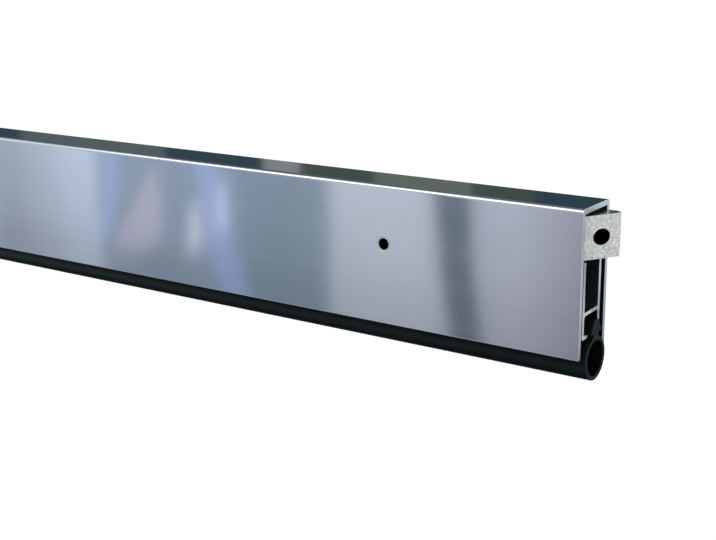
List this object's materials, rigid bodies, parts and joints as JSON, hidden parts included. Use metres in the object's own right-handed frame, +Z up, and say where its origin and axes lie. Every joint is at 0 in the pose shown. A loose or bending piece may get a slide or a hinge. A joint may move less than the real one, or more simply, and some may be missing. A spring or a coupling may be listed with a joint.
{
  "type": "automatic door bottom seal",
  "caption": "Drop-down door bottom seal: an aluminium channel whose bevelled end plunger swings inner levers to push a bar with a hollow rubber bulb down to the floor.",
  "frame": {"origin": "on the door-side face of the housing, midway between the two fixing holes and on their axes", "axes": "+X along the seal towards the plunger, +Y into the door, +Z up"},
  "size_m": [0.34, 0.014, 0.0413],
  "materials": {
    "housing_aluminium": "bright mill-finish extrusion with fine lines along its length",
    "bar_aluminium": "mill-finish extrusion",
    "plunger_alloy": "smooth sides and a coarsely grained, sparkling bevel",
    "black_rubber": "black, faint sheen",
    "nylon": "natural",
    "steel": "zinc plated",
    "black_steel": "black oxide"
  },
  "bodies": {
    "housing": {"housing": "housing_aluminium", "pivot_sleeve_right": "steel", "pivot_sleeve_left": "steel", "rod_guide_right": "nylon", "rod_guide_left": "nylon", "spring_stop": "nylon", "return_spring": "steel"},
    "rod": {"push_rod": "steel", "drive_pin_right": "steel", "drive_pin_left": "steel", "spring_washer": "steel", "retaining_clip": "steel"},
    "plunger": {"plunger_block": "plunger_alloy", "adjuster_retainer": "steel"},
    "adjuster": {"adjusting_screw": "black_steel"},
    "lever_right": {"drop_lever_right": "steel", "lift_pin_right": "steel"},
    "lever_left": {"drop_lever_left": "steel", "lift_pin_left": "steel"},
    "bar": {"drop_bar": "bar_aluminium", "bulb_seal": "black_rubber", "lift_bracket_right": "steel", "lift_bracket_left": "steel", "bracket_rivets": "steel"}
  },
  "joints": [
    {"name": "plunger_push", "type": "slide", "parent": "housing", "child": "rod", "axis": [-1, 0, 0], "range_m": [0, 0.0035], "stiffness_N_per_m": 1500, "springref_m": -0.004, "deforming": ["return_spring"]},
    {"name": "seal_drop", "type": "slide", "parent": "housing", "child": "bar", "axis": [0, 0, -1], "range_m": [0, 0.0105]},
    {"name": "lever_right_swing", "type": "hinge", "parent": "housing", "child": "lever_right", "pos_m": [0.115, -0.007, 0], "axis": [0, -1, 0], "range_deg": [0, 26.79]},
    {"name": "lever_left_swing", "type": "hinge", "parent": "housing", "child": "lever_left", "pos_m": [-0.115, -0.007, 0], "axis": [0, -1, 0], "range_deg": [0, 26.79]},
    {"name": "block_reach", "type": "slide", "parent": "rod", "child": "plunger", "axis": [1, 0, 0], "range_m": [-0.0005, 0.002]},
    {"name": "adjuster_turn", "type": "hinge", "parent": "plunger", "child": "adjuster", "pos_m": [0.155, -0.007, 0.00735], "axis": [1, 0, 0], "range_deg": [-360.1, 1440.1]}
  ],
  "couplings": [
    {"joint": "seal_drop", "follows": "plunger_push", "ratio": 3},
    {"joint": "lever_right_swing", "follows": "plunger_push", "rad_per_m": 133.57},
    {"joint": "lever_left_swing", "follows": "plunger_push", "rad_per_m": 133.57},
    {"joint": "adjuster_turn", "follows": "block_reach", "rad_per_m": 12566}
  ]
}
